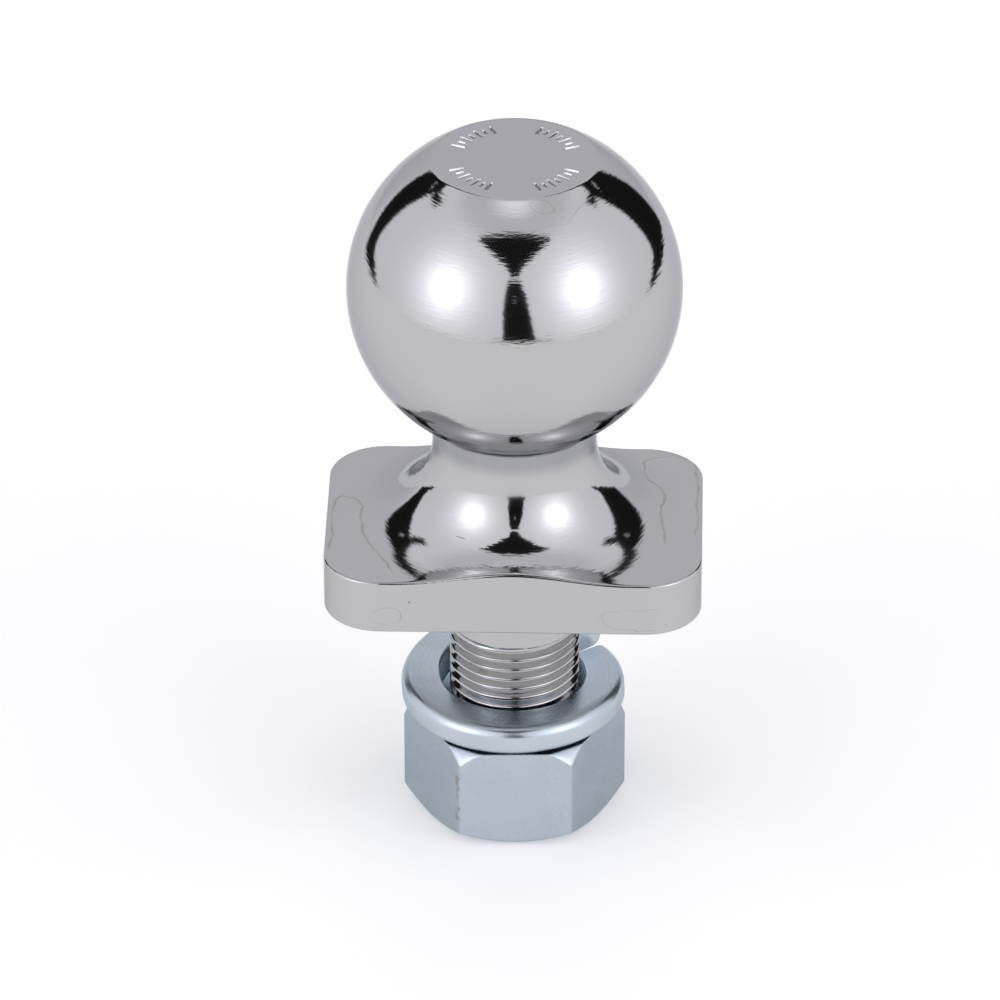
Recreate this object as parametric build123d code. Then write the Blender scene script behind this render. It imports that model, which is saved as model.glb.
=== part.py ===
from build123d import *
import math
import os

# Trailer hitch ball: a one-piece forged ball stud, a helical spring lock washer and a hex nut.
# Millimetres. +Z is up along the stud's axis and z = 0 is the underside of the flange, the face
# that sits on the drawbar. X runs along the flange's long side.

# Ball and neck
BALL_RADIUS = 23.8             # 1-7/8 in ball
BALL_CENTRE_HEIGHT = 46.0
TOP_FLAT_RADIUS = 11.7
TOP_EDGE_RADIUS = 0.4
NECK_RADIUS = 11.7
NECK_FILLET_RADIUS = 1.2       # where the ball meets the neck

# Flange, cut as a rounded rectangle from the turned flare
FLANGE_WIDTH = 53.9
FLANGE_DEPTH = 37.9
FLANGE_CORNER_RADIUS = 8.0
FLANGE_THICKNESS = 8.2
FLARE_RADIUS = 13.5
FLANGE_LOWER_EDGE_RADIUS = 0.5
FLANGE_UPPER_EDGE_RADIUS = 0.4
SHANK_ROOT_RADIUS = 0.8

# Stamped marks on the flat top, as groups of plain radial ticks, long and short in turn
MARK_GROUPS = 4
MARKS_PER_GROUP = 7
MARK_SPACING_ANGLE = 7.5
MARK_RING_RADIUS = 8.7
MARK_LENGTHS = (2.4, 1.5)
MARK_WIDTH = 0.55
MARK_DEPTH = 0.35

# Shank and its 3/4-16 right-hand thread
SHANK_RADIUS = 9.525           # 3/4 in
SHANK_LENGTH = 38.1
PLAIN_SHANK_LENGTH = 8.3
SHANK_END_CHAMFER = 1.2
THREAD_PITCH = 25.4 / 16
THREAD_STEP = 0.1              # of the cone from the plain shank down to the thread's crest
THREAD_MAJOR_RADIUS = 9.37
THREAD_DEPTH = 0.61343 * THREAD_PITCH
THREAD_CREST_HALF_WIDTH = THREAD_PITCH / 16
THREAD_MINOR_RADIUS = THREAD_MAJOR_RADIUS - THREAD_DEPTH
THREAD_TURNS = 20.25           # of the helix that cuts it; it ends at the back
THREAD_END_HEIGHT = -9.1
THREAD_MILL_RADIUS = 12.0      # the run-out's round end
FLANK_SLOPE = math.tan(math.radians(30))

# Hex nut
NUT_ACROSS_FLATS = 28.0
NUT_HEIGHT = 15.7
NUT_TOP = -23.7
NUT_TURN = 2.0                 # its resting angle about the stud
NUT_TOP_FACE_RADIUS = 14.8     # past the flats' middles, so that only the corners are cut
NUT_TOP_CHAMFER_ANGLE = 54
NUT_BOTTOM_FACE_RADIUS = 12.95
NUT_BOTTOM_CHAMFER_ANGLE = 30
NUT_BORE_RADIUS = THREAD_MINOR_RADIUS + 0.28
NUT_ROOT_RADIUS = THREAD_MAJOR_RADIUS + 0.20
NUT_COUNTERSINK_RADIUS = 10.0
FLANK_CLEARANCE = 0.12         # along the axis, between the two threads

# Spring lock washer, one turn of left-hand helix
WASHER_INNER_RADIUS = 10.45
WASHER_OUTER_RADIUS = 16.15
WASHER_THICKNESS = 4.5
WASHER_TOP_OUTER_EDGE = 1.8
WASHER_BOTTOM_OUTER_EDGE = 1.4
WASHER_INNER_EDGE = 0.5
WASHER_FREE_RISE = 3.65        # per turn, unloaded
WASHER_GAP_ANGLE = 6.0
WASHER_LOW_END_AZIMUTH = 33.0
WASHER_OFFSET = (-0.07, 0.40)  # it lies loose, off the stud's axis
WASHER_LEAN = 1.5              # of its front edge upwards
WASHER_REST_CLEARANCE = 0.05

OVERCUT = 0.5
SMALL_OVERCUT = 0.02
THREAD_OVERCUT = 0.1
THREAD_BLANK_EXTRA = 8.0       # cut off after threading, with the thread cutter's start


def thread_groove_half_width(radius):
    """Half the width of the stud's thread groove at a radius."""
    root = THREAD_PITCH / 2 - THREAD_CREST_HALF_WIDTH - THREAD_DEPTH * FLANK_SLOPE
    return root + (radius - THREAD_MINOR_RADIUS) * FLANK_SLOPE


def helical_bar(inner_radius, inner_half, outer_radius, outer_half, lift):
    """Right-hand helical bar with a trapezoid section, in step with the stud's thread."""
    length = THREAD_TURNS * THREAD_PITCH
    start = THREAD_END_HEIGHT - length + lift
    section = make_face(Plane.XZ * Polyline(
        (inner_radius, start - inner_half),
        (outer_radius, start - outer_half),
        (outer_radius, start + outer_half),
        (inner_radius, start + inner_half),
        close=True,
    ))
    path = Helix(
        pitch=THREAD_PITCH,
        height=length,
        radius=(inner_radius + outer_radius) / 2,
        center=(0, 0, start),
    )
    return sweep(section, path=path, is_frenet=True)


def turned_blank():
    """The ball, neck, flare and an overlong shank as turned, before the flange's sides are cut."""
    top = BALL_CENTRE_HEIGHT + math.sqrt(BALL_RADIUS**2 - TOP_FLAT_RADIUS**2)
    neck_top = BALL_CENTRE_HEIGHT - math.sqrt(BALL_RADIUS**2 - NECK_RADIUS**2)
    flare_top = FLANGE_THICKNESS + FLARE_RADIUS
    flare_foot = NECK_RADIUS + FLARE_RADIUS
    diagonal = FLARE_RADIUS * math.sqrt(0.5)
    blank_radius = math.hypot(FLANGE_WIDTH, FLANGE_DEPTH) / 2 + OVERCUT
    blank_end = -SHANK_LENGTH - THREAD_BLANK_EXTRA
    with BuildSketch(Plane.XZ) as outline:
        with BuildLine():
            Polyline((0, blank_end), (0, top), (TOP_FLAT_RADIUS, top))
            ThreePointArc(
                (TOP_FLAT_RADIUS, top),
                (BALL_RADIUS, BALL_CENTRE_HEIGHT),
                (NECK_RADIUS, neck_top),
            )
            Line((NECK_RADIUS, neck_top), (NECK_RADIUS, flare_top))
            ThreePointArc(
                (NECK_RADIUS, flare_top),
                (flare_foot - diagonal, flare_top - diagonal),
                (flare_foot, FLANGE_THICKNESS),
            )
            Polyline(
                (flare_foot, FLANGE_THICKNESS),
                (blank_radius, FLANGE_THICKNESS),
                (blank_radius, 0),
                (SHANK_RADIUS, 0),
                (SHANK_RADIUS, -PLAIN_SHANK_LENGTH),
                (THREAD_MAJOR_RADIUS, -PLAIN_SHANK_LENGTH - THREAD_STEP),
                (THREAD_MAJOR_RADIUS, blank_end),
                (0, blank_end),
            )
        make_face()
    return revolve(outline.sketch, Axis.Z)


def cut_flange(blank):
    """Cuts the rounded rectangle of the flange from the round blank."""
    top = FLANGE_THICKNESS + FLARE_RADIUS
    outline = RectangleRounded(FLANGE_WIDTH, FLANGE_DEPTH, FLANGE_CORNER_RADIUS)
    flange_sides = Pos(0, 0, -OVERCUT) * extrude(outline, top + 2 * OVERCUT)
    reach = 2 * FLANGE_WIDTH
    waste = Box(reach, reach, top, align=(Align.CENTER, Align.CENTER, Align.MIN))
    return blank - (waste - flange_sides)


def on_flange_side(edge):
    """True for an edge that follows the flange's rounded rectangle."""
    middle = edge @ 0.5
    across = abs(middle.X) - (FLANGE_WIDTH / 2 - FLANGE_CORNER_RADIUS)
    along = abs(middle.Y) - (FLANGE_DEPTH / 2 - FLANGE_CORNER_RADIUS)
    outside = math.hypot(max(across, 0), max(along, 0)) + min(max(across, along), 0)
    return abs(outside - FLANGE_CORNER_RADIUS) < 0.01 and middle.Z < BALL_CENTRE_HEIGHT / 2


def round_stud_edges(stud):
    """Breaks the flange's outline and the ball's top edge, and fills the neck's and shank's corners."""
    outline = stud.edges().filter_by(Axis.Z, reverse=True).filter_by(on_flange_side)
    stud = fillet(outline.filter_by(lambda edge: (edge @ 0.5).Z < OVERCUT), FLANGE_LOWER_EDGE_RADIUS)
    outline = stud.edges().filter_by(Axis.Z, reverse=True).filter_by(on_flange_side)
    upper = outline.filter_by(lambda edge: (edge @ 0.5).Z > FLANGE_THICKNESS - OVERCUT)
    stud = fillet(upper, FLANGE_UPPER_EDGE_RADIUS)
    stud = fillet(stud.edges().filter_by(GeomType.CIRCLE).sort_by(Axis.Z)[-1], TOP_EDGE_RADIUS)
    neck_rings = stud.edges().filter_by(GeomType.CIRCLE).filter_by(
        lambda edge: abs(edge.radius - NECK_RADIUS) < 0.01 and abs((edge @ 0).Z - (edge @ 0.5).Z) < 0.01
    )
    upper_ring = neck_rings.filter_by(lambda edge: (edge @ 0).Z < BALL_CENTRE_HEIGHT).sort_by(Axis.Z)[-1]
    stud = fillet(upper_ring, NECK_FILLET_RADIUS)
    root = stud.edges().filter_by(GeomType.CIRCLE).filter_by(
        lambda edge: abs(edge.radius - SHANK_RADIUS) < 0.01 and abs((edge @ 0).Z) < 0.01
    )
    return fillet(root, SHANK_ROOT_RADIUS)


def stamped_marks():
    """Groups of short radial ticks, sunk in the flat top."""
    top = BALL_CENTRE_HEIGHT + math.sqrt(BALL_RADIUS**2 - TOP_FLAT_RADIUS**2)
    ticks = [extrude(SlotOverall(length, MARK_WIDTH), MARK_DEPTH + OVERCUT) for length in MARK_LENGTHS]
    first = -(MARKS_PER_GROUP - 1) / 2 * MARK_SPACING_ANGLE
    marks = []
    for group in range(MARK_GROUPS):
        for place in range(MARKS_PER_GROUP):
            angle = (group + 0.5) * 360 / MARK_GROUPS + first + place * MARK_SPACING_ANGLE
            tick = ticks[place % len(ticks)]
            marks.append(Rot(0, 0, angle) * Pos(MARK_RING_RADIUS, 0, top - MARK_DEPTH) * tick)
    return marks


def thread_runout():
    """The round end that the thread cutter leaves, where the last groove fades out."""
    tip = thread_groove_half_width(THREAD_MINOR_RADIUS) + SMALL_OVERCUT
    shoulder = THREAD_DEPTH + OVERCUT
    width = tip + shoulder * FLANK_SLOPE
    outline = make_face(Plane.XZ * Polyline(
        (0, -width),
        (THREAD_MILL_RADIUS - shoulder, -width),
        (THREAD_MILL_RADIUS, -tip),
        (THREAD_MILL_RADIUS, tip),
        (THREAD_MILL_RADIUS - shoulder, width),
        (0, width),
        close=True,
    ))
    wheel = revolve(outline, Axis.Z)
    end_angle = 360 * (THREAD_TURNS % 1)
    distance = THREAD_MINOR_RADIUS + THREAD_MILL_RADIUS
    return Rot(0, 0, end_angle) * Pos(distance, 0, THREAD_END_HEIGHT) * wheel


def shank_end_waste():
    """What is cut off below the shank's chamfered end."""
    reach = THREAD_MAJOR_RADIUS + OVERCUT
    chamfer_top = -SHANK_LENGTH + SHANK_END_CHAMFER + OVERCUT
    lowest = -SHANK_LENGTH - THREAD_BLANK_EXTRA - OVERCUT
    outline = make_face(Plane.XZ * Polyline(
        (0, -SHANK_LENGTH),
        (THREAD_MAJOR_RADIUS - SHANK_END_CHAMFER, -SHANK_LENGTH),
        (reach, chamfer_top),
        (reach, lowest),
        (0, lowest),
        close=True,
    ))
    return revolve(outline, Axis.Z)


def make_ball_stud():
    """Ball, neck, flange and threaded shank, all one forging."""
    outer = THREAD_MAJOR_RADIUS + THREAD_OVERCUT
    groove = helical_bar(
        THREAD_MINOR_RADIUS,
        thread_groove_half_width(THREAD_MINOR_RADIUS),
        outer,
        thread_groove_half_width(outer),
        lift=0,
    )
    stud = round_stud_edges(cut_flange(turned_blank())) - groove
    stud = stud - shank_end_waste() - thread_runout()
    return stud - stamped_marks()


def make_hex_nut():
    """Hex nut, chamfered below and with its corners cut on top, threaded to match the stud at rest."""
    bottom = NUT_TOP - NUT_HEIGHT
    corner = NUT_ACROSS_FLATS / math.sqrt(3)
    reach = corner + OVERCUT
    top_drop = (reach - NUT_TOP_FACE_RADIUS) * math.tan(math.radians(NUT_TOP_CHAMFER_ANGLE))
    bottom_drop = (reach - NUT_BOTTOM_FACE_RADIUS) * math.tan(math.radians(NUT_BOTTOM_CHAMFER_ANGLE))
    countersink = NUT_COUNTERSINK_RADIUS - NUT_BORE_RADIUS
    # The blank is as tall as the overlong shank, so that the thread cutter ends inside it.
    blank_height = SHANK_LENGTH + THREAD_BLANK_EXTRA
    hexagon = RegularPolygon(corner, 6) - Circle(NUT_BORE_RADIUS)
    blank = Pos(0, 0, -blank_height) * extrude(hexagon, blank_height)
    inner = NUT_BORE_RADIUS - THREAD_OVERCUT
    # The nut's groove holds the stud's ridge, half a pitch from the stud's groove.
    groove = helical_bar(
        inner,
        THREAD_PITCH / 2 - thread_groove_half_width(inner) + FLANK_CLEARANCE,
        NUT_ROOT_RADIUS,
        THREAD_PITCH / 2 - thread_groove_half_width(NUT_ROOT_RADIUS) + FLANK_CLEARANCE,
        lift=-THREAD_PITCH / 2,
    )
    turned = make_face(Plane.XZ * Polyline(
        (NUT_COUNTERSINK_RADIUS, bottom),
        (NUT_BOTTOM_FACE_RADIUS, bottom),
        (reach, bottom + bottom_drop),
        (reach, NUT_TOP - top_drop),
        (NUT_TOP_FACE_RADIUS, NUT_TOP),
        (NUT_COUNTERSINK_RADIUS, NUT_TOP),
        (NUT_BORE_RADIUS - OVERCUT, NUT_TOP - countersink - OVERCUT),
        (NUT_BORE_RADIUS - OVERCUT, bottom + countersink + OVERCUT),
        close=True,
    ))
    return (Rot(0, 0, NUT_TURN) * blank - groove) & revolve(turned, Axis.Z)


def make_lock_washer():
    """Split spring washer, one open turn, lying loose and tilted on the nut."""
    width = WASHER_OUTER_RADIUS - WASHER_INNER_RADIUS
    middle = (WASHER_OUTER_RADIUS + WASHER_INNER_RADIUS) / 2
    section = Plane.XZ * Pos(middle, WASHER_THICKNESS / 2) * Rectangle(width, WASHER_THICKNESS)
    inner, outer = section.vertices().group_by(Axis.X)
    section = fillet(inner, WASHER_INNER_EDGE)
    section = fillet(section.vertices().sort_by(Axis.X)[-2:].sort_by(Axis.Z)[-1], WASHER_TOP_OUTER_EDGE)
    section = fillet(section.vertices().sort_by(Axis.X)[-1], WASHER_BOTTOM_OUTER_EDGE)
    turn = (360 - WASHER_GAP_ANGLE) / 360
    path = Helix(
        pitch=WASHER_FREE_RISE,
        height=WASHER_FREE_RISE * turn,
        radius=middle,
        center=(0, 0, 0),
        lefthand=True,
    )
    washer = sweep(section, path=path, is_frenet=True)
    # Its low end and the opposite side both come down on the nut, so it lies tilted.
    tilt = math.degrees(math.atan(WASHER_FREE_RISE / 4 / WASHER_OUTER_RADIUS))
    washer = Rot(-WASHER_LEAN, 0, 0) * Rot(0, 0, WASHER_LOW_END_AZIMUTH) * Rot(0, -tilt, 0) * washer
    lowest = washer.bounding_box().min.Z
    return Pos(*WASHER_OFFSET, NUT_TOP + WASHER_REST_CLEARANCE - lowest) * washer


def main():
    os.makedirs("parts", exist_ok=True)
    nodes = {
        "ball_stud": make_ball_stud(),
        "lock_washer": make_lock_washer(),
        "hex_nut": make_hex_nut(),
    }
    for name, solid in nodes.items():
        export_step(solid, f"parts/{name}.step")


main()
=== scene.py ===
import math

import bmesh
import bpy
import numpy as np
from mathutils import Matrix, Vector
from mathutils.geometry import tessellate_polygon


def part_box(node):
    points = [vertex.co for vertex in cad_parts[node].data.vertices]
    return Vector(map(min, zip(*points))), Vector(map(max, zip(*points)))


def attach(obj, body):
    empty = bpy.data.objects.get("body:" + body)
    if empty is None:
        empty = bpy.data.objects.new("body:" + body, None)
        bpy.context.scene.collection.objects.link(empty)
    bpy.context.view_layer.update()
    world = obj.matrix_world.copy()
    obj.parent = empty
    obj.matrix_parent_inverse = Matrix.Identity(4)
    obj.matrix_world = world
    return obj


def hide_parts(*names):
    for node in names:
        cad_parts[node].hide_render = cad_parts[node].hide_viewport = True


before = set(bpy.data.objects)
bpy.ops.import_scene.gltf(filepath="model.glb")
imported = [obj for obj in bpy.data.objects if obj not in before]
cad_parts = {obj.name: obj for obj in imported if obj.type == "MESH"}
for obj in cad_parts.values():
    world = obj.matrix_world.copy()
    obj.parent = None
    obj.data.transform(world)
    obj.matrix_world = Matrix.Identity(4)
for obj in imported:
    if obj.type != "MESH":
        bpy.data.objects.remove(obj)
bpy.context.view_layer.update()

# A chromed trailer hitch ball on a flanged, threaded stud, with a zinc-plated spring lock washer and
# hex nut. Everything is in metres, in the CAD's frame: z = 0 is the flange's underside and the stud's
# axis is Z. Each CAD node is shown through a finer mesh of the same shape, because mirror-bright
# plating shows every facet.

MM = 0.001
WELD_DISTANCE = 1e-7
SHARP_ANGLE = math.radians(38)
TURN = 2 * math.pi

# How finely the meshes are divided: columns round an axis, rows along a profile.
STUD_COLUMNS = 288
BALL_ROWS = 130
FILLET_ROWS = 14
FLARE_ROWS = 56
ROWS_PER_PITCH = 14
BORE_COLUMNS = 180
NUT_FLAT_COLUMNS = 25
NUT_CORNER_COLUMNS = 7
NUT_EDGE_ROWS = 15
WASHER_SECTIONS = 300
FLOOR_COLUMNS = 128


# ---------------------------------------------------------------- sizes

stud_low, stud_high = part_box("ball_stud")
nut_low, nut_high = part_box("hex_nut")
washer_low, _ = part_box("lock_washer")

BALL_RADIUS = 23.8 * MM
STUD_TOP = stud_high.z
STUD_END = stud_low.z
FLANGE_HALF_WIDTH = stud_high.x
FLANGE_HALF_DEPTH = 18.95 * MM
FLANGE_CORNER = 8.0 * MM
FLANGE_THICKNESS = 8.2 * MM
FLARE_RADIUS = 13.5 * MM
NECK_RADIUS = 11.7 * MM
NECK_FILLET = 1.2 * MM
TOP_FLAT_RADIUS = 11.7 * MM
TOP_EDGE = 0.4 * MM
FLANGE_UPPER_EDGE = 0.4 * MM
FLANGE_LOWER_EDGE = 0.5 * MM
BALL_CENTRE = STUD_TOP - math.sqrt(BALL_RADIUS**2 - TOP_FLAT_RADIUS**2)
SHANK_RADIUS = 9.525 * MM
SHANK_ROOT_EDGE = 0.8 * MM
SHANK_END_CHAMFER = 1.2 * MM

THREAD_PITCH = 25.4 / 16 * MM
THREAD_MAJOR = 9.37 * MM
THREAD_DEPTH = 0.61343 * THREAD_PITCH
THREAD_MINOR = THREAD_MAJOR - THREAD_DEPTH
THREAD_CREST = THREAD_PITCH / 8
THREAD_TOP = -8.7 * MM
THREAD_FADE = 0.6 * MM
THREAD_PHASE_HEIGHT = -9.1 * MM       # a groove's middle, at the azimuth below
THREAD_PHASE_AZIMUTH = math.radians(90)
FLANK_SLOPE = math.tan(math.radians(30))

MARK_GROUPS = 4
MARKS_PER_GROUP = 7
MARK_SPACING = math.radians(7.5)
MARK_RING = 8.7 * MM
MARK_LENGTHS = (2.4 * MM, 1.5 * MM)
MARK_WIDTH = 0.55 * MM
MARK_DEPTH = 0.35 * MM
# How far in from a mark's outline, and how deep, its sunk walls run.
MARK_WALLS = (
    (-0.05 * MM, 0), (0, 0), (0.04 * MM, 0.05 * MM), (0.13 * MM, MARK_DEPTH - 0.05 * MM),
    (0.17 * MM, MARK_DEPTH), (0.21 * MM, MARK_DEPTH),
)

NUT_CORNER = 28.0 / math.sqrt(3) * MM
NUT_TURN = math.radians(2.0)
NUT_TOP_FACE = 14.8 * MM              # past the flats' middles, so that only the corners are cut
NUT_TOP_SLOPE = math.tan(math.radians(54))
NUT_BOTTOM_FACE = 12.95 * MM
NUT_BOTTOM_SLOPE = math.tan(math.radians(30))
NUT_SOFT_EDGE = 0.3 * MM
NUT_BORE = THREAD_MINOR + 0.28 * MM
NUT_ROOT = THREAD_MAJOR + 0.20 * MM
NUT_COUNTERSINK = 10.0 * MM
NUT_EDGE = 0.7 * MM
NUT_FLANK_CLEARANCE = 0.12 * MM

WASHER_INNER = 10.45 * MM
WASHER_OUTER = 16.15 * MM
WASHER_THICKNESS = 4.5 * MM
WASHER_TOP_EDGE = 1.8 * MM
WASHER_BOTTOM_EDGE = 1.4 * MM
WASHER_INNER_EDGE = 0.5 * MM
WASHER_RISE = 3.65 * MM
WASHER_GAP = math.radians(6)
WASHER_LOW_END = math.radians(33)
WASHER_OFFSET = Vector((-0.07 * MM, 0.40 * MM, 0))
WASHER_LEAN = math.radians(1.5)


# ---------------------------------------------------------------- mesh helpers

def make_piece(name, verts, faces, body, node, material):
    """Makes one smooth-shaded mesh that stands for a CAD node and rides on its body."""
    mesh = bpy.data.meshes.new(name)
    mesh.from_pydata([tuple(v) for v in verts], [], faces)
    joined = bmesh.new()
    joined.from_mesh(mesh)
    bmesh.ops.remove_doubles(joined, verts=joined.verts, dist=WELD_DISTANCE)
    bmesh.ops.recalc_face_normals(joined, faces=joined.faces)
    joined.to_mesh(mesh)
    joined.free()
    mesh.shade_smooth()
    mesh.set_sharp_from_angle(angle=SHARP_ANGLE)
    mesh.materials.append(material)
    piece = bpy.data.objects.new(name, mesh)
    bpy.context.scene.collection.objects.link(piece)
    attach(piece, body)
    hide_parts(node)
    return piece


class Shell:
    """Gathers rings and grids of points into one list of vertices and faces."""

    def __init__(self):
        self.verts = []
        self.faces = []

    def add_points(self, points):
        first = len(self.verts)
        self.verts.extend(points)
        return first

    def add_rings(self, rings):
        """Closed rings of equal count, joined one to the next."""
        count = len(rings[0])
        start = [self.add_points(ring) for ring in rings]
        for upper, lower in zip(start, start[1:]):
            for i in range(count):
                j = (i + 1) % count
                self.faces.append((upper + i, lower + i, lower + j, upper + j))
        return start

    def add_fan(self, ring, centre):
        """Closes a ring with triangles to its centre."""
        first = self.add_points([*ring, centre])
        count = len(ring)
        for i in range(count):
            self.faces.append((first + i, first + (i + 1) % count, first + count))


def ring_points(angles, radii, heights):
    return list(np.stack([radii * np.cos(angles), radii * np.sin(angles), heights], axis=1))


def arc_rows(start, end, corner, count=5):
    """Rows that round a corner, from one pair of radius and height arrays to another."""
    rows = []
    for t in np.linspace(0, 1, count):
        weights = ((1 - t) ** 2, 2 * t * (1 - t), t**2)
        rows.append(tuple(
            weights[0] * a + weights[1] * c + weights[2] * b for a, c, b in zip(start, corner, end)
        ))
    return rows


def straight_rows(start, end, hold=0.0, count=2):
    """Rows along a straight run, with one close to each end so that the run stays flat."""
    places = sorted({0.0, hold, *np.linspace(0, 1, count), 1 - hold, 1.0})
    return [tuple(a + (b - a) * t for a, b in zip(start, end)) for t in places]


# ---------------------------------------------------------------- ball stud

def rounded_rectangle_radius(angle):
    """The flange outline's distance from the axis at an angle."""
    across, along = abs(math.cos(angle)), abs(math.sin(angle))
    flat_x, flat_y = FLANGE_HALF_WIDTH - FLANGE_CORNER, FLANGE_HALF_DEPTH - FLANGE_CORNER
    if FLANGE_HALF_WIDTH * along <= flat_y * across:
        return FLANGE_HALF_WIDTH / across
    if FLANGE_HALF_DEPTH * across <= flat_x * along:
        return FLANGE_HALF_DEPTH / along
    middle = flat_x * across + flat_y * along
    return middle + math.sqrt(middle**2 - flat_x**2 - flat_y**2 + FLANGE_CORNER**2)


def flare_height(radius):
    """Height of the concave flare and of the flange's flat ends beyond it."""
    inward = np.maximum(NECK_RADIUS + FLARE_RADIUS - radius, 0)
    drop = np.sqrt(FLARE_RADIUS**2 - np.minimum(inward, FLARE_RADIUS) ** 2)
    return FLANGE_THICKNESS + FLARE_RADIUS - drop


def flare_rows(edge_radius):
    """Rows down the flare, evenly spaced along its curve, out to the flange's edge."""
    arc_end = np.arccos(np.clip(1 - (edge_radius - NECK_RADIUS) / FLARE_RADIUS, 0, 1))
    flat = np.maximum(edge_radius - NECK_RADIUS - FLARE_RADIUS, 0)
    length = FLARE_RADIUS * arc_end + flat
    rows = []
    for t in np.linspace(0, 1, FLARE_ROWS):
        run = t * length
        turn = np.minimum(run / FLARE_RADIUS, arc_end)
        past_arc = np.maximum(run - FLARE_RADIUS * arc_end, 0)
        radius = NECK_RADIUS + FLARE_RADIUS * (1 - np.cos(turn)) + past_arc
        height = FLANGE_THICKNESS + FLARE_RADIUS * (1 - np.sin(turn))
        rows.append((radius, height))
    return rows


def stud_rows(angles):
    """The stud's skin from the top flat's rim to the thread, as rows of radius and height."""
    one = np.ones_like(angles)

    def level(radius, height):
        return (radius * one, height * one)

    rim = TOP_FLAT_RADIUS - TOP_EDGE
    ball_start = math.asin((TOP_FLAT_RADIUS + TOP_EDGE * 0.8) / BALL_RADIUS)
    fillet_radius = NECK_RADIUS + NECK_FILLET
    fillet_turn = math.acos(fillet_radius / (BALL_RADIUS + NECK_FILLET))
    fillet_height = BALL_CENTRE - (BALL_RADIUS + NECK_FILLET) * math.sin(fillet_turn)
    ball_end = TURN / 4 + fillet_turn

    def ball_level(polar):
        return level(BALL_RADIUS * math.sin(polar), BALL_CENTRE + BALL_RADIUS * math.cos(polar))

    first = ball_level(ball_start)
    rows = [level(rim - 0.1 * MM, STUD_TOP)]
    rows += arc_rows(level(rim, STUD_TOP), first, level(TOP_FLAT_RADIUS, STUD_TOP), 6)
    rows += [ball_level(polar) for polar in np.linspace(ball_start, ball_end, BALL_ROWS)[1:]]
    for turn in np.linspace(fillet_turn, 0, FILLET_ROWS)[1:]:
        rows.append(level(fillet_radius - NECK_FILLET * math.cos(turn),
                          fillet_height + NECK_FILLET * math.sin(turn)))
    outline = np.array([rounded_rectangle_radius(a) for a in angles])
    rows += flare_rows(outline - FLANGE_UPPER_EDGE)
    inner = rows[-1]
    top_of_side = flare_height(outline)
    side_start = (outline, top_of_side - FLANGE_UPPER_EDGE)
    rows += arc_rows(inner, side_start, (outline, top_of_side))
    side_end = (outline, FLANGE_LOWER_EDGE * one)
    rows += straight_rows(side_start, side_end, hold=0.01, count=6)
    below = (outline - FLANGE_LOWER_EDGE, 0 * one)
    rows += arc_rows(side_end, below, (outline, 0 * one))
    root = level(SHANK_RADIUS + SHANK_ROOT_EDGE, 0)
    rows += straight_rows(below, root, hold=0.02, count=4)
    shank_top = level(SHANK_RADIUS, -SHANK_ROOT_EDGE)
    rows += arc_rows(root, shank_top, level(SHANK_RADIUS, 0))
    shank_end = level(SHANK_RADIUS, THREAD_TOP + 0.3 * MM)
    rows += straight_rows(shank_top, shank_end, hold=0.02, count=6)
    rows.append(level(THREAD_MAJOR, THREAD_TOP))
    return rows


def groove_profile(offset):
    """The stud's radius at a distance along the axis from a groove's middle, corners eased."""
    root_half = THREAD_PITCH / 2 - THREAD_CREST / 2 - THREAD_DEPTH * FLANK_SLOPE
    window = np.linspace(-0.07, 0.07, 9) * MM
    spread = np.asarray(offset)[..., None] + window
    away = np.abs((spread + THREAD_PITCH / 2) % THREAD_PITCH - THREAD_PITCH / 2)
    radius = np.clip(THREAD_MINOR + (away - root_half) / FLANK_SLOPE, THREAD_MINOR, THREAD_MAJOR)
    return radius.mean(axis=-1)


def helical_skin(shell, top, bottom, radius_at, columns):
    """A thread's surface, with rows that follow the helix between two level ends."""
    turns = (top - bottom) / THREAD_PITCH
    rows = int(math.ceil((turns + 3) * ROWS_PER_PITCH)) + 1
    phase = THREAD_PHASE_HEIGHT - THREAD_PHASE_AZIMUTH / (2 * math.pi) * THREAD_PITCH
    # The first row starts a whole number of pitches above a groove's middle.
    first = phase + math.ceil((top + THREAD_PITCH - phase) / THREAD_PITCH) * THREAD_PITCH
    azimuths = np.arange(columns) * 2 * math.pi / columns
    drop = np.arange(rows) * THREAD_PITCH / ROWS_PER_PITCH
    height = first - drop[:, None] + azimuths[None, :] / (2 * math.pi) * THREAD_PITCH
    offset = -np.repeat(drop[:, None], columns, axis=1)
    height_kept = np.clip(height, bottom, top)
    radius = radius_at(offset, height_kept)
    start = shell.add_points(list(np.stack([
        radius * np.cos(azimuths), radius * np.sin(azimuths), height_kept,
    ], axis=-1).reshape(-1, 3)))

    def index(row, column):
        if column == columns:
            row, column = row - ROWS_PER_PITCH, 0
        return start + row * columns + column

    for row in range(ROWS_PER_PITCH, rows - 1):
        for column in range(columns):
            corners = ((row, column), (row + 1, column), (row + 1, column + 1), (row, column + 1))
            loop = [index(*corner) for corner in corners]
            levels = [shell.verts[i][2] for i in loop]
            if max(levels) > bottom and min(levels) < top:
                shell.faces.append(tuple(loop))


def stud_thread_radius(offset, height):
    """Fades the groove out at the top and cones the thread's end."""
    fade = np.clip((THREAD_TOP - height) / THREAD_FADE, 0, 1)
    fade = fade * fade * (3 - 2 * fade)
    radius = THREAD_MAJOR - (THREAD_MAJOR - groove_profile(offset)) * fade
    cone = THREAD_MAJOR - SHANK_END_CHAMFER + (height - STUD_END)
    return np.minimum(radius, cone)


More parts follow.
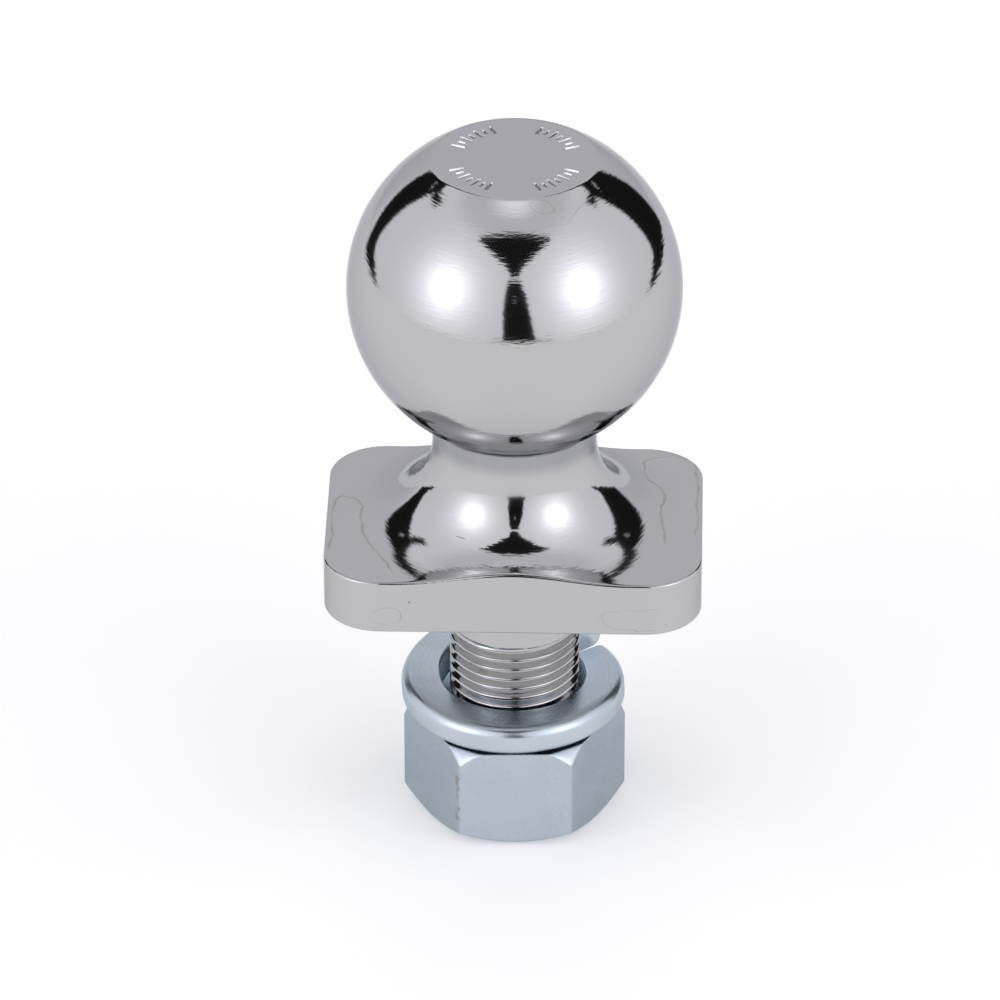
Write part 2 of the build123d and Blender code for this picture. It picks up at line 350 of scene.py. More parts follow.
def capsule(length, width, height, segments=10):
    """Points round a bar with round ends, along X."""
    half, points = (length - width) / 2, []
    for end in (1, -1):
        for k in range(segments + 1):
            angle = (k / segments - 0.5) * math.pi + (0 if end > 0 else math.pi)
            across, along = width / 2 * math.cos(angle), width / 2 * math.sin(angle)
            points.append(Vector((end * half + across, along, height)))
    return points


def stamped_top(shell, rim_ring):
    """The flat top with groups of stamped ticks, long and short in turn, with sloping walls."""
    loops = [[Vector(p) for p in rim_ring]]
    for group in range(MARK_GROUPS):
        for place in range(MARKS_PER_GROUP):
            spread = (place - (MARKS_PER_GROUP - 1) / 2) * MARK_SPACING
            angle = (group + 0.5) * 2 * math.pi / MARK_GROUPS + spread
            turn = Matrix.Rotation(angle, 4, "Z") @ Matrix.Translation((MARK_RING, 0, 0))
            length = MARK_LENGTHS[place % len(MARK_LENGTHS)]
            rings = []
            for inset, depth in MARK_WALLS:
                bar = capsule(length - 2 * inset, MARK_WIDTH - 2 * inset, STUD_TOP - depth)
                rings.append([turn @ p for p in bar])
            loops.append(rings[0])
            shell.add_rings(rings)
            floor = sum(rings[-1], Vector()) / len(rings[-1])
            shell.add_fan(rings[-1], floor)
    first = shell.add_points([p for loop in loops for p in loop])
    for a, b, c in tessellate_polygon(loops):
        shell.faces.append((first + a, first + b, first + c))


def make_ball_stud(material):
    shell = Shell()
    angles = np.arange(STUD_COLUMNS) * TURN / STUD_COLUMNS
    rings = [ring_points(angles, radius, height) for radius, height in stud_rows(angles)]
    shell.add_rings(rings)
    stamped_top(shell, rings[0])
    helical_skin(shell, THREAD_TOP, STUD_END, stud_thread_radius, STUD_COLUMNS)
    end_radius = THREAD_MAJOR - SHANK_END_CHAMFER + 0 * angles
    shell.add_fan(ring_points(angles, end_radius, STUD_END + 0 * angles), (0, 0, STUD_END))
    return make_piece(
        "ball_stud_plated", shell.verts, shell.faces, "stud", "ball_stud", material
    )


# ---------------------------------------------------------------- hex nut

def nut_angles():
    """Azimuths round the nut: close together at the six rounded corners, even along the flats."""
    corner_centre = NUT_CORNER - NUT_EDGE / math.cos(math.pi / 6)
    flat_end = math.atan(corner_centre / 2 / (NUT_CORNER * math.cos(math.pi / 6)))
    along_flat = list(np.linspace(-flat_end, flat_end, NUT_FLAT_COLUMNS))
    round_corner = list(np.linspace(flat_end, TURN / 6 - flat_end, NUT_CORNER_COLUMNS)[1:-1])
    one_side = np.array(along_flat + round_corner) + TURN / 12
    return np.concatenate([one_side + side * TURN / 6 + NUT_TURN for side in range(6)])


def hexagon_radius(angle):
    """The rounded hexagon's distance from the axis at an azimuth."""
    from_flat = (angle - NUT_TURN) % (TURN / 6) - TURN / 12
    apothem = NUT_CORNER * math.cos(math.pi / 6)
    corner_centre = NUT_CORNER - NUT_EDGE / math.cos(math.pi / 6)
    if abs(from_flat) <= math.atan(corner_centre / 2 / apothem) + 1e-9:
        return apothem / math.cos(from_flat)
    from_corner = TURN / 12 - abs(from_flat)
    across = corner_centre * math.sin(from_corner)
    return corner_centre * math.cos(from_corner) + math.sqrt(NUT_EDGE**2 - across**2)


def nut_side_rows(outline, top, bottom):
    """Rows from the nut's top face to its bottom one, over the eased edges and the cut corners."""
    rows = []
    ends = (
        (top, -1, NUT_TOP_FACE, NUT_TOP_SLOPE),
        (bottom, 1, NUT_BOTTOM_FACE, NUT_BOTTOM_SLOPE),
    )
    for face, inward, face_radius, slope in ends:
        level = face + 0 * outline
        face_edge = np.minimum(outline, face_radius)
        chamfer_end = face + inward * (outline - face_edge) * slope
        control = (
            (face_edge - NUT_SOFT_EDGE, level), (face_edge, level),
            (outline, chamfer_end), (outline, chamfer_end + inward * NUT_SOFT_EDGE),
        )
        half = [(face_edge - 2 * NUT_SOFT_EDGE, level)]
        for t in np.linspace(0, 1, NUT_EDGE_ROWS):
            weights = ((1 - t) ** 3, 3 * t * (1 - t) ** 2, 3 * t**2 * (1 - t), t**3)
            half.append(tuple(
                sum(w * point[axis] for w, point in zip(weights, control)) for axis in (0, 1)
            ))
        rows.append(half)
    upper, lower = rows
    middle = straight_rows(upper[-1], lower[-1], hold=0.02, count=8)
    return upper + middle[1:-1] + lower[::-1]


def nut_thread_radius(offset, height):
    """The nut's bore at a distance along the axis from the stud's groove, with countersunk ends."""
    away = np.abs(offset % THREAD_PITCH - THREAD_PITCH / 2)
    radius = THREAD_MAJOR + (THREAD_CREST / 2 + NUT_FLANK_CLEARANCE - away) / FLANK_SLOPE
    radius = np.clip(radius, NUT_BORE, NUT_ROOT)
    from_face = np.minimum(nut_high.z - height, height - nut_low.z)
    return np.maximum(radius, NUT_COUNTERSINK - from_face)


def make_hex_nut(material):
    shell = Shell()
    angles = nut_angles()
    outline = np.array([hexagon_radius(a) for a in angles])
    sides = [ring_points(angles, r, z) for r, z in nut_side_rows(outline, nut_high.z, nut_low.z)]
    shell.add_rings(sides)
    helical_skin(shell, nut_high.z, nut_low.z, nut_thread_radius, BORE_COLUMNS)
    bore_angles = np.arange(BORE_COLUMNS) * TURN / BORE_COLUMNS
    for side, height in ((sides[0], nut_high.z), (sides[-1], nut_low.z)):
        level = height + 0 * bore_angles
        mouth = ring_points(bore_angles, NUT_COUNTERSINK + 0 * bore_angles, level)
        rim = ring_points(bore_angles, NUT_COUNTERSINK + 0.1 * MM + 0 * bore_angles, level)
        shell.add_rings([mouth, rim])
        loops = [[Vector(p) for p in side], [Vector(p) for p in rim]]
        first = shell.add_points([p for loop in loops for p in loop])
        for a, b, c in tessellate_polygon(loops):
            shell.faces.append((first + a, first + b, first + c))
    return make_piece(
        "hex_nut_plated", shell.verts, shell.faces, "nut", "hex_nut", material
    )


# ---------------------------------------------------------------- lock washer

def washer_section():
    """The washer's rounded section as radius and height pairs, from its inner bottom corner round."""
    corners = (
        (WASHER_INNER, 0, WASHER_INNER_EDGE),
        (WASHER_OUTER, 0, WASHER_BOTTOM_EDGE),
        (WASHER_OUTER, WASHER_THICKNESS, WASHER_TOP_EDGE),
        (WASHER_INNER, WASHER_THICKNESS, WASHER_INNER_EDGE),
    )
    middle = ((WASHER_INNER + WASHER_OUTER) / 2, WASHER_THICKNESS / 2)
    points = []
    for number, (x, y, radius) in enumerate(corners):
        centre_x = x + math.copysign(radius, middle[0] - x)
        centre_y = y + math.copysign(radius, middle[1] - y)
        start = math.pi + number * math.pi / 2
        steps = 12 if radius > 1 * MM else 7
        for k in range(steps + 1):
            angle = start + k / steps * math.pi / 2
            points.append((centre_x + radius * math.cos(angle), centre_y + radius * math.sin(angle)))
    return points


def make_lock_washer(material):
    shell = Shell()
    section = np.array(washer_section())
    span = TURN - WASHER_GAP
    rings = []
    for s in np.linspace(0, span, WASHER_SECTIONS):
        lift = WASHER_RISE * s / TURN
        radii, heights = section[:, 0], section[:, 1] + lift
        rings.append(ring_points(-s, radii, heights))
    tilt = math.atan(WASHER_RISE / 4 / WASHER_OUTER)
    place = Matrix.Rotation(WASHER_LOW_END, 4, "Z") @ Matrix.Rotation(-tilt, 4, "Y")
    place = Matrix.Rotation(-WASHER_LEAN, 4, "X") @ place
    rings = [[place @ Vector(p) for p in ring] for ring in rings]
    lowest = min(p.z for ring in rings for p in ring)
    shift = WASHER_OFFSET + Vector((0, 0, washer_low.z - lowest))
    rings = [[p + shift for p in ring] for ring in rings]
    shell.add_rings(rings)
    for end in (rings[0], rings[-1]):
        shell.add_fan(end, sum(end, Vector()) / len(end))
    return make_piece(
        "lock_washer_plated", shell.verts, shell.faces, "washer", "lock_washer",
        material,
    )


# ---------------------------------------------------------------- shader graphs

class Graph:
    """Adds shader nodes to a node tree and links them, one short call each."""

    def __init__(self, tree):
        self.tree = tree
        tree.nodes.clear()

    def feed(self, socket, value):
        if isinstance(value, bpy.types.NodeSocket):
            self.tree.links.new(value, socket)
        else:
            socket.default_value = value

    def node(self, kind, inputs=None, **settings):
        node = self.tree.nodes.new(kind)
        for name, value in settings.items():
            setattr(node, name, value)
        for name, value in (inputs or {}).items():
            self.feed(node.inputs[name], value)
        return node

    def math(self, operation, *values):
        node = self.node("ShaderNodeMath", operation=operation)
        for socket, value in zip(node.inputs, values):
            self.feed(socket, value)
        return node.outputs[0]

    def minus(self, first, second):
        return self.math("SUBTRACT", first, second)

    def total(self, *values):
        result = values[0]
        for value in values[1:]:
            result = self.math("ADD", result, value)
        return result

    def product(self, *values):
        result = values[0]
        for value in values[1:]:
            result = self.math("MULTIPLY", result, value)
        return result

    def step(self, value, low, high, start=0.0, end=1.0):
        """Start below low, end above high, and a smooth change between."""
        inputs = {"Value": value, "From Min": low, "From Max": high, "To Min": start, "To Max": end}
        return self.node("ShaderNodeMapRange", inputs, interpolation_type="SMOOTHSTEP").outputs[0]

    def ramp(self, value, low, high, start, end):
        """A straight change from start at low to end at high, clamped outside."""
        inputs = {"Value": value, "From Min": low, "From Max": high, "To Min": start, "To Max": end}
        return self.node("ShaderNodeMapRange", inputs).outputs[0]

    def mix(self, factor, first, second):
        node = self.node("ShaderNodeMix", {"Factor": factor}, data_type="RGBA")
        self.feed(node.inputs[6], first)
        self.feed(node.inputs[7], second)
        return node.outputs[2]

    def noise(self, vector, scale, detail=3.0, roughness=0.5):
        inputs = {"Vector": vector, "Scale": scale, "Detail": detail, "Roughness": roughness}
        return self.node("ShaderNodeTexNoise", inputs).outputs["Fac"]

    def gap(self, value, target):
        """How far a value is from a target."""
        return self.math("ABSOLUTE", self.minus(value, target))

    def most(self, *values):
        result = values[0]
        for value in values[1:]:
            result = self.math("MAXIMUM", result, value)
        return result

    def inverse(self, value):
        return self.minus(1.0, value)

    def length(self, across, along):
        """How far a point is from zero in two directions."""
        squares = self.total(self.product(across, across), self.product(along, along))
        return self.math("SQRT", squares)

    def oval(self, across, along, centre, size):
        """Distance from an oval's centre: 1 on its outline."""
        first = self.product(self.minus(across, centre[0]), 1 / size[0])
        second = self.product(self.minus(along, centre[1]), 1 / size[1])
        return self.length(first, second)

    def curve(self, value, points):
        """A smooth curve through pairs of place and result, in the places' order."""
        places, results = zip(*points)
        low, high = min(results), max(results)
        share = self.ramp(value, places[0], places[-1], 0.0, 1.0)
        node = self.node("ShaderNodeFloatCurve", {"Value": share})
        line = node.mapping.curves[0]
        span = places[-1] - places[0]
        spots = [((p - places[0]) / span, (r - low) / (high - low)) for p, r in points]
        line.points[0].location, line.points[1].location = spots[0], spots[-1]
        for spot in spots[1:-1]:
            line.points.new(*spot)
        for spot in line.points:
            spot.handle_type = "AUTO_CLAMPED"
        node.mapping.update()
        return self.total(self.product(node.outputs[0], high - low), low)

    def line_noise(self, place, scale, detail=2.0):
        inputs = {"W": place, "Scale": scale, "Detail": detail}
        return self.node("ShaderNodeTexNoise", inputs, noise_dimensions="1D").outputs["Fac"]


# ---------------------------------------------------------------- materials

RING_DEPTH = 0.017 * MM
RING_SCALE = 2600.0                   # lathe rings per metre of profile, roughly
RING_STREAKS = 9.0                    # how often a ring changes over a radian

# Outlines of the dried tide marks on the flange's top, as pairs of y and x in millimetres.
TIDE_LINES = (
    ((-17.2, -16.4), (-12.0, -18.8), (-7.4, -21.0), (-2.5, -21.9), (1.5, -22.0), (3.4, -22.8),
     (4.7, -24.7)),
    ((-11.0, -26.2), (-5.0, -26.0), (-1.1, -26.2), (3.0, -25.8), (4.7, -24.7)),
    ((-8.5, 21.3), (-7.1, 21.7), (1.4, 20.9), (4.0, 21.5), (6.5, 21.2), (10.1, 18.9), (13.0, 18.5),
     (14.8, 18.5), (16.2, 20.0), (17.1, 22.7)),
    ((-6.0, 25.8), (0.0, 26.2), (10.0, 26.2), (14.6, 25.8), (15.8, 24.9), (17.1, 22.7)),
)
# The middles and the bearings of the scratches on the ball and the flare, in millimetres and radians.
BALL_SCRATCH = (9.2, -11.0)
BALL_SCRATCH_TURN = -2.13
FLARE_SCRATCH = (-7.3, -13.4)
FLARE_SCRATCH_TURN = -0.5
# Dried drops on the flange's front face: middle and half sizes across and up, in millimetres.
FRONT_DROPS = (((-17.7, 2.7), (2.3, 1.4)), ((18.3, 2.6), (5.9, 1.8)))
# The same for a dried drop on the ball, the brown spot on the thread and the pit on the front face.
BALL_DROP = ((4.2, -12.3), (1.7, 0.9))
THREAD_RUST = ((-5.1, -12.6), (1.3, 0.5))
FRONT_PIT = ((-14.5, 5.1), (0.2, 0.16))
NUT_SPECKS_SIZE = 0.8 * MM            # round the corner that has brown specks

CHROME = (0.492, 0.492, 0.495, 1)
# Painted shade: a darker chrome colour for the neck, in the crease between the ball and the flare.
NECK_PAINTED_SHADE = (0.36, 0.365, 0.38, 1)
CHROME_EDGE = (0.66, 0.67, 0.69, 1)
TIDE_BROWN = (0.27, 0.25, 0.20, 1)
SCRATCH_GREY = (0.22, 0.22, 0.23, 1)
WASHER_PALE, WASHER_BLUE = (0.545, 0.600, 0.645, 1), (0.485, 0.555, 0.612, 1)
NUT_PALE, NUT_BLUE = (0.497, 0.555, 0.604, 1), (0.449, 0.516, 0.574, 1)
ZINC_EDGE = (0.72, 0.76, 0.80, 1)
ZINC_SPECK = (0.33, 0.27, 0.20, 1)
DRAWN_LINE = (0.30, 0.34, 0.37, 1)
NUT_RUST = (0.30, 0.22, 0.16, 1)


def metal(name, build):
    """A metal material whose graph is filled in by build(graph, shader, point, facing)."""
    material = bpy.data.materials.new(name)
    material.use_nodes = True
    graph = Graph(material.node_tree)
    shader = graph.node("ShaderNodeBsdfPrincipled", {"Metallic": 1.0})
    output = graph.node("ShaderNodeOutputMaterial")
    graph.feed(output.inputs["Surface"], shader.outputs["BSDF"])
    place = graph.node("ShaderNodeTexCoord")
    build(graph, shader, place.outputs["Object"], place.outputs["Normal"])
    return material


def split(graph, vector):
    node = graph.node("ShaderNodeSeparateXYZ", {"Vector": vector})
    return node.outputs[0], node.outputs[1], node.outputs[2]


def in_metres(pairs):
    return [[number * MM for number in pair] for pair in pairs]


def on_front_face(graph, y):
    return graph.step(y, -18.9 * MM, -18.6 * MM, 1.0, 0.0)


def stains(graph, point, x, y, z):
    """Faint outlines of dried tide marks on the flange and one drop on the ball, from 0 to 1."""
    wander = graph.product(graph.minus(graph.noise(point, 450.0, detail=4.0), 0.5), 1.1 * MM)
    on_top = graph.product(
        graph.step(z, 7.7 * MM, 8.0 * MM), graph.step(z, 14 * MM, 16 * MM, 1.0, 0.0)
    )
    marks = []
    for outline in TIDE_LINES:
        pairs = in_metres(outline)
        away = graph.gap(x, graph.total(graph.curve(y, pairs), wander))
        ends = graph.product(
            graph.step(y, pairs[0][0], pairs[0][0] + 2 * MM),
            graph.step(y, pairs[-1][0], pairs[-1][0] + 0.2 * MM, 1.0, 0.0),
        )
        marks.append(graph.product(graph.step(away, 0.04 * MM, 0.30 * MM, 1.0, 0.0), ends, on_top))
    on_front = on_front_face(graph, y)
    rough_outline = graph.product(wander, 0.8 / MM)
    for spot in FRONT_DROPS:
        oval = graph.oval(x, z, *in_metres(spot))
        away = graph.gap(graph.total(oval, rough_outline), 1.0)
        marks.append(graph.product(graph.step(away, 0.01, 0.06, 1.0, 0.0), on_front, 0.8))
    drop = graph.total(graph.oval(x, y, *in_metres(BALL_DROP)), rough_outline)
    marks.append(graph.product(graph.step(graph.gap(drop, 1.0), 0.03, 0.12, 1.0, 0.0),
                               graph.step(z, 60 * MM, 61 * MM), 0.5))
    rust = graph.total(graph.oval(x, z, *in_metres(THREAD_RUST)), rough_outline)
    marks.append(graph.product(graph.step(rust, 0.5, 1.2, 1.0, 0.0),
                               graph.step(y, -5 * MM, -4 * MM, 1.0, 0.0)))
    patchy = graph.ramp(graph.noise(point, 300.0), 0.35, 0.65, 0.3, 1.0)
    return graph.product(graph.most(*marks), patchy)


def scratches(graph, x, y, z):
    """A long faint scratch on the ball, a short one on the flare and a pit on the flange's front."""
    high = graph.step(z, 55 * MM, 56 * MM)
    low = graph.inverse(high)
    marks = []
    for centre, size, turn, place, strength in (
        (BALL_SCRATCH, (3.2, 0.06), BALL_SCRATCH_TURN, high, 0.35),
        (FLARE_SCRATCH, (0.9, 0.07), FLARE_SCRATCH_TURN, low, 0.8),
    ):
        across = graph.minus(x, centre[0] * MM)
        along = graph.minus(y, centre[1] * MM)
        cosine, sine = math.cos(turn), math.sin(turn)
        first = graph.total(graph.product(across, cosine), graph.product(along, sine))
        second = graph.total(graph.product(across, -sine), graph.product(along, cosine))
        oval = graph.oval(first, second, (0, 0), [c * MM for c in size])
        marks.append(graph.product(graph.step(oval, 0.6, 1.2, 1.0, 0.0), place, strength))
    pit = graph.oval(x, z, *in_metres(FRONT_PIT))
    marks.append(graph.product(graph.step(pit, 0.6, 1.2, 1.0, 0.0), on_front_face(graph, y)))
    return graph.most(*marks)


def chrome(graph, shader, point, facing):
    """Bright chrome over turned steel, with fine lathe rings, faint tide marks and painted shade on the
    neck.
    """
    x, y, z = split(graph, point)
    upright = graph.math("ABSOLUTE", split(graph, facing)[2])
    radius = graph.length(x, y)
    polar = graph.math("ARCTAN2", radius, graph.minus(z, BALL_CENTRE))
    on_ball = graph.step(z, 24.5 * MM, 25.5 * MM)
    on_shank = graph.step(z, -1.2 * MM, -0.9 * MM, 1.0, 0.0)
    on_flange = graph.product(graph.inverse(on_ball), graph.inverse(on_shank))
    along = graph.total(
        graph.product(polar, BALL_RADIUS, on_ball),
        graph.product(radius, on_flange),
        graph.product(z, on_shank),
    )
    # The flange's sheared sides carry no lathe rings.
    turned = graph.most(on_ball, on_shank, graph.step(upright, 0.05, 0.2))
    streak = graph.node("ShaderNodeCombineXYZ", {
        "X": graph.product(along, RING_SCALE),
        "Y": graph.product(graph.math("DIVIDE", x, radius), RING_STREAKS),
        "Z": graph.product(graph.math("DIVIDE", y, radius), RING_STREAKS),
    }).outputs[0]
    rings = graph.total(
        graph.product(graph.noise(streak, 1.0, detail=2.0), 0.8),
        graph.product(graph.line_noise(along, 900.0), 0.4),
    )
    grain = graph.noise(point, 900.0, detail=2.0)
    depth = graph.total(graph.product(rings, turned), graph.product(grain, 0.1))
    bump = graph.node("ShaderNodeBump", {"Strength": 1.0, "Distance": RING_DEPTH, "Height": depth})
    graph.feed(shader.inputs["Normal"], bump.outputs["Normal"])
    haze = graph.ramp(graph.noise(point, 60.0), 0.3, 0.7, 0.05, 0.09)
    above_flare = graph.step(z, 21.0 * MM, 23.4 * MM)
    below_ball = graph.step(z, 24.6 * MM, 26.0 * MM, 1.0, 0.0)
    # Where the painted shade goes: the neck between the flare and the ball.
    neck_shade = graph.product(above_flare, below_ball)
    satin = graph.product(graph.ramp(z, 17.0 * MM, 22.0 * MM, 0.0, 1.0), below_ball)
    stain = stains(graph, point, x, y, z)
    scratch = scratches(graph, x, y, z)
    graph.feed(shader.inputs["Roughness"],
               graph.total(haze, graph.product(satin, 0.2), graph.product(stain, 0.15)))
    # Painted shade: the neck's chrome is mixed towards the darker colour.
    plate = graph.mix(neck_shade, CHROME, NECK_PAINTED_SHADE)
    stained = graph.mix(graph.product(stain, 0.6), plate, TIDE_BROWN)
    graph.feed(shader.inputs["Base Color"], graph.mix(scratch, stained, SCRATCH_GREY))
    shader.inputs["Specular Tint"].default_value = CHROME_EDGE


def zinc(graph, shader, point, pale, blue):
    """Clear blue zinc plate between two tints: satin, slightly mottled, with a few brown specks."""
    mottle = graph.noise(point, 220.0, detail=6.0)
    cloud = graph.noise(point, 70.0, detail=2.0)
    tint = graph.mix(graph.step(cloud, 0.35, 0.65), blue, pale)
    speck = graph.step(graph.noise(point, 700.0, detail=1.0), 0.76, 0.82)
    graph.feed(shader.inputs["Roughness"], graph.ramp(mottle, 0.3, 0.7, 0.20, 0.32))
    grain = graph.noise(point, 1500.0, detail=4.0)
    bump = graph.node("ShaderNodeBump", {"Strength": 1.0, "Distance": 0.006 * MM, "Height": grain})
    graph.feed(shader.inputs["Normal"], bump.outputs["Normal"])
    shader.inputs["Specular Tint"].default_value = ZINC_EDGE
    return graph.mix(graph.product(speck, 0.4), tint, ZINC_SPECK)


def washer_zinc(graph, shader, point, facing):
    """The washer's plate, with faint lines along its turn."""
    tint = zinc(graph, shader, point, WASHER_PALE, WASHER_BLUE)
    x, y, _ = split(graph, point)
    radius = graph.length(x, y)
    drawn = graph.ramp(graph.line_noise(radius, 2500.0), 0.3, 0.7, 0.0, 0.14)
    graph.feed(shader.inputs["Base Color"], graph.mix(drawn, tint, DRAWN_LINE))


def nut_zinc(graph, shader, point, facing):
    """The nut's plate, with painted shade darkening the faces that look sideways, and brown specks on
    one corner.
    """
    tint = zinc(graph, shader, point, NUT_PALE, NUT_BLUE)
    x, y, _ = split(graph, point)
    _, along, up = split(graph, facing)
    squareness = graph.most(graph.product(along, -1.0), graph.math("ABSOLUTE", up))
    # Painted shade: faces that look neither to the front nor up or down are darkened towards black.
    side_face_shade = graph.ramp(squareness, 0.5, 0.95, 0.16, 0.0)
    speckled = (-NUT_CORNER / 2, -NUT_CORNER * math.cos(TURN / 12))
    corner = graph.oval(x, y, speckled, (NUT_SPECKS_SIZE, NUT_SPECKS_SIZE))
    flecks = graph.step(graph.noise(point, 800.0), 0.5, 0.68)
    rusty = graph.product(graph.step(corner, 0.5, 1.3, 1.0, 0.0), flecks)
    tint = graph.mix(graph.product(rusty, 0.6), tint, NUT_RUST)
    # The painted shade on the sideways faces is mixed in over the plate's tint.
    graph.feed(shader.inputs["Base Color"], graph.mix(side_face_shade, tint, (0, 0, 0, 1)))


# ---------------------------------------------------------------- studio

CAMERA_YAW = math.radians(1.372)
CAMERA_DISTANCE = 1.20918
CAMERA_ELEVATION = math.radians(30.01)
CAMERA_PITCH = math.radians(31.436)
CAMERA_LENS = 308.5
CAMERA_SHIFT = -0.01456
FLOOR_RADIUS = 0.6

# The lamps, in degrees from the camera and above the floor, with each glow's strength and spread.
LAMP_AZIMUTH = 51
LAMP_ELEVATION = 19
LAMP_GLOWS = ((1.1, 9.0), (0.78, 18.0))
DARKEST = 0.012                       # the brightness inside the slit and the gaps

# Half the slit's width at heights up the studio, both as parts of the studio's radius.
SLIT_WIDTHS = (
    (-0.15, 0.186), (0.35, 0.130), (0.538, 0.0735), (0.605, 0.048), (0.622, 0.054), (0.76, 0.23),
    (0.84, 0.42),
)
# Where the side gaps start at heights up the studio: elevation and azimuth, in degrees.
GAP_FEET = ((-9.5, 93.0), (-8.0, 104.0), (-3.5, 113.5), (-1.0, 119.0), (4.0, 121.0), (40.0, 121.0))


def make_world():
    """A soft white studio: two lamps on side panels, a dark slit between them, a darker rear."""
    world = bpy.data.worlds.new("studio")
    bpy.context.scene.world = world
    world.use_nodes = True
    graph = Graph(world.node_tree)
    ray = graph.node("ShaderNodeTexCoord").outputs["Generated"]
    turned = graph.node("ShaderNodeVectorRotate", {"Vector": ray, "Angle": -CAMERA_YAW},
                        rotation_type="Z_AXIS").outputs[0]
    side, away, up = split(graph, turned)
    towards = graph.math("MULTIPLY", away, -1.0)
    width = graph.math("ABSOLUTE", side)
    azimuth = graph.math("MULTIPLY", graph.math("ARCTAN2", width, towards), 180 / math.pi)
    level = graph.math("MULTIPLY", graph.math("ARCSINE", up), 180 / math.pi)

    # Panels, the grey ceiling and rear, the bright middle overhead, and the floor's tone below.
    ceiling = graph.step(level, 52.0, 66.0)
    rear = graph.step(azimuth, 136.0, 146.0)
    above = graph.step(level, -9.0, -5.0)
    tone = graph.ramp(graph.product(graph.most(ceiling, rear), above), 0.0, 1.0, 1.0, 0.82)
    tone = graph.total(tone, graph.step(level, 72.0, 88.0, 0.0, 0.5))

    # The dark slit towards the camera, wide at its foot and its head, with a pale bar across it.
    centre = graph.ramp(up, -0.12, 0.5, 0.05, 0.0)
    half = graph.curve(up, SLIT_WIDTHS)
    inside = graph.minus(half, graph.gap(side, centre))
    in_front = graph.step(towards, 0.0, 0.05)
    bar = graph.product(graph.step(graph.gap(up, 0.574), 0.012, 0.03, 1.0, 0.0), 0.92)
    slit = graph.product(
        graph.step(inside, -0.012, 0.012),
        graph.step(up, -0.15, -0.12),
        graph.step(graph.total(up, graph.product(side, side, 0.48)), 0.900, 0.925, 1.0, 0.0),
        in_front,
        graph.inverse(bar),
    )
    sideways = graph.minus(side, 0.08)
    line = graph.total(level, 7.6, graph.product(sideways, sideways, 7.5))
    foot_line = graph.product(
        graph.step(graph.math("ABSOLUTE", line), 0.3, 0.9, 1.0, 0.0),
        graph.step(graph.math("ABSOLUTE", sideways), 0.20, 0.42, 1.0, 0.0),
        in_front,
    )
    glint = graph.product(
        graph.step(graph.gap(up, 0.354), 0.0, 0.03, 0.5, 0.0),
        graph.step(width, 0.0, 0.03, 1.0, 0.0),
        in_front,
    )

    # Dark gaps behind the panels, at both sides, each with a spur forwards and an arm to the rear.
    on_left = graph.step(side, -0.01, 0.01, 1.0, 0.0)
    inner = graph.total(graph.curve(level, GAP_FEET), graph.ramp(on_left, 0.0, 1.0, -2.0, 2.0))
    outer = graph.minus(144.5, graph.product(on_left, graph.ramp(level, -8.0, 25.0, 12.0, 0.0)))
    highest = graph.ramp(azimuth, 122.0, 168.0, 43.0, 57.0)
    below_top = graph.step(graph.minus(highest, level), -1.5, 1.5)
    body = graph.product(
        graph.step(graph.minus(azimuth, inner), -1.5, 1.5),
        graph.step(graph.minus(outer, azimuth), -1.5, 1.5),
        graph.step(level, -10.5, -9.0),
        below_top,
    )
    arm = graph.product(
        graph.step(azimuth, 132.0, 136.0),
        graph.step(azimuth, 166.0, 172.0, 1.0, 0.0),
        graph.step(graph.minus(level, graph.ramp(azimuth, 134.0, 170.0, 40.0, 50.0)), -1.5, 1.5),
        below_top,
    )
    spur = graph.product(
        graph.step(graph.gap(level, graph.ramp(azimuth, 108.0, 122.0, 45.0, 40.5)), 1.5, 4.5, 1.0, 0.0),
        graph.step(azimuth, 107.0, 113.0),
        graph.step(azimuth, 122.0, 128.0, 1.0, 0.0),
    )
    streak = graph.product(
        graph.step(graph.gap(azimuth, 131.0), 1.0, 3.5, 0.4, 0.0),
        graph.step(graph.gap(level, 36.0), 0.3, 1.5, 1.0, 0.0),
    )
    dark = graph.most(slit, foot_line, body, arm, spur)
    lit = graph.total(
        graph.product(tone, graph.inverse(dark)), graph.product(dark, DARKEST), glint, streak
    )

    # The two lamps' glow on the panels.
    for direction in (-1, 1):
        azimuth_of_lamp = math.radians(LAMP_AZIMUTH * direction)
        height_of_lamp = math.radians(LAMP_ELEVATION)
        toward_lamp = (
            math.sin(azimuth_of_lamp) * math.cos(height_of_lamp),
            -math.cos(azimuth_of_lamp) * math.cos(height_of_lamp),
            math.sin(height_of_lamp),
        )
        facing = graph.node("ShaderNodeVectorMath", operation="DOT_PRODUCT")
        graph.feed(facing.inputs[0], turned)
        facing.inputs[1].default_value = toward_lamp
        drop = graph.minus(facing.outputs["Value"], 1.0)
        for strength, spread in LAMP_GLOWS:
            sharpness = 1 / math.radians(spread) ** 2
            glow = graph.product(graph.math("EXPONENT", graph.product(drop, sharpness)), strength)
            lit = graph.total(lit, graph.product(glow, graph.inverse(dark)))

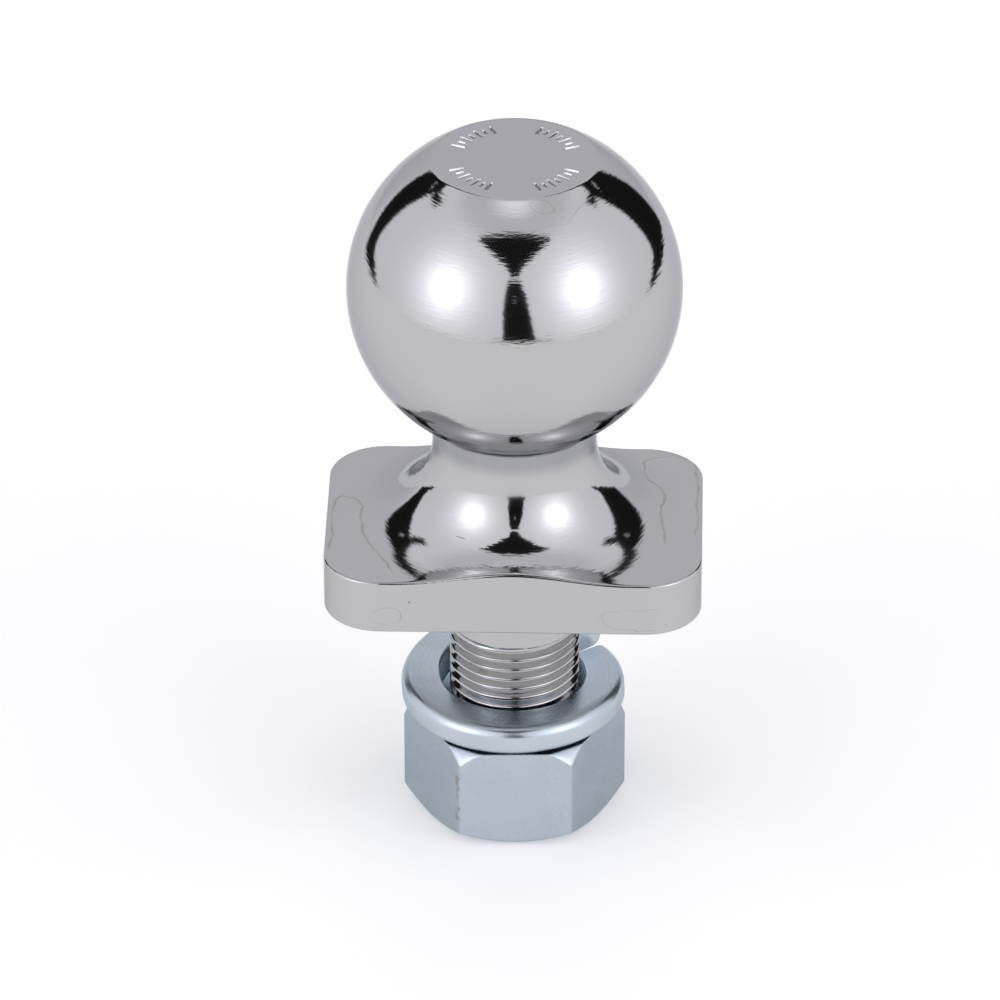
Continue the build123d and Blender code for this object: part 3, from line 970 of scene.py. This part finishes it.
    tint = graph.mix(above, (1, 1, 1, 1), (0.985, 0.985, 1.035, 1))
    background = graph.node("ShaderNodeBackground", {"Strength": lit, "Color": tint})
    output = graph.node("ShaderNodeOutputWorld")
    graph.feed(output.inputs["Surface"], background.outputs[0])


def make_floor():
    """A round pale table top, level with the nut's underside."""
    angles = np.arange(FLOOR_COLUMNS) * TURN / FLOOR_COLUMNS
    shell = Shell()
    rim = ring_points(angles, FLOOR_RADIUS + 0 * angles, nut_low.z + 0 * angles)
    shell.add_fan(rim, (0, 0, nut_low.z))
    mesh = bpy.data.meshes.new("floor")
    mesh.from_pydata([tuple(v) for v in shell.verts], [], shell.faces)
    floor = bpy.data.objects.new("floor", mesh)
    bpy.context.scene.collection.objects.link(floor)
    material = bpy.data.materials.new("pale_floor")
    material.use_nodes = True
    graph = Graph(material.node_tree)
    shader = graph.node("ShaderNodeBsdfPrincipled", {
        "Base Color": (0.93, 0.925, 0.91, 1), "Roughness": 0.9, "Specular IOR Level": 0.0,
        "Emission Color": (1, 1, 1, 1), "Emission Strength": 0.20,
    })
    graph.feed(graph.node("ShaderNodeOutputMaterial").inputs["Surface"], shader.outputs["BSDF"])
    mesh.materials.append(material)


def make_camera():
    """Looks down at the object's front from the distance and height fitted to the photograph."""
    data = bpy.data.cameras.new("camera")
    data.lens = CAMERA_LENS
    data.sensor_width = 36.0
    data.shift_x = CAMERA_SHIFT
    data.clip_end = 20.0
    camera = bpy.data.objects.new("camera", data)
    bpy.context.scene.collection.objects.link(camera)
    flat = CAMERA_DISTANCE * math.cos(CAMERA_ELEVATION)
    camera.location = (
        flat * math.sin(CAMERA_YAW),
        -flat * math.cos(CAMERA_YAW),
        BALL_CENTRE + CAMERA_DISTANCE * math.sin(CAMERA_ELEVATION),
    )
    camera.rotation_euler = (math.pi / 2 - CAMERA_PITCH, 0, CAMERA_YAW)
    bpy.context.scene.camera = camera
    bpy.context.scene.view_settings.view_transform = "Standard"


make_ball_stud(metal("chrome_plate", chrome))
make_hex_nut(metal("zinc_nut", nut_zinc))
make_lock_washer(metal("zinc_washer", washer_zinc))
make_world()
make_floor()
make_camera()
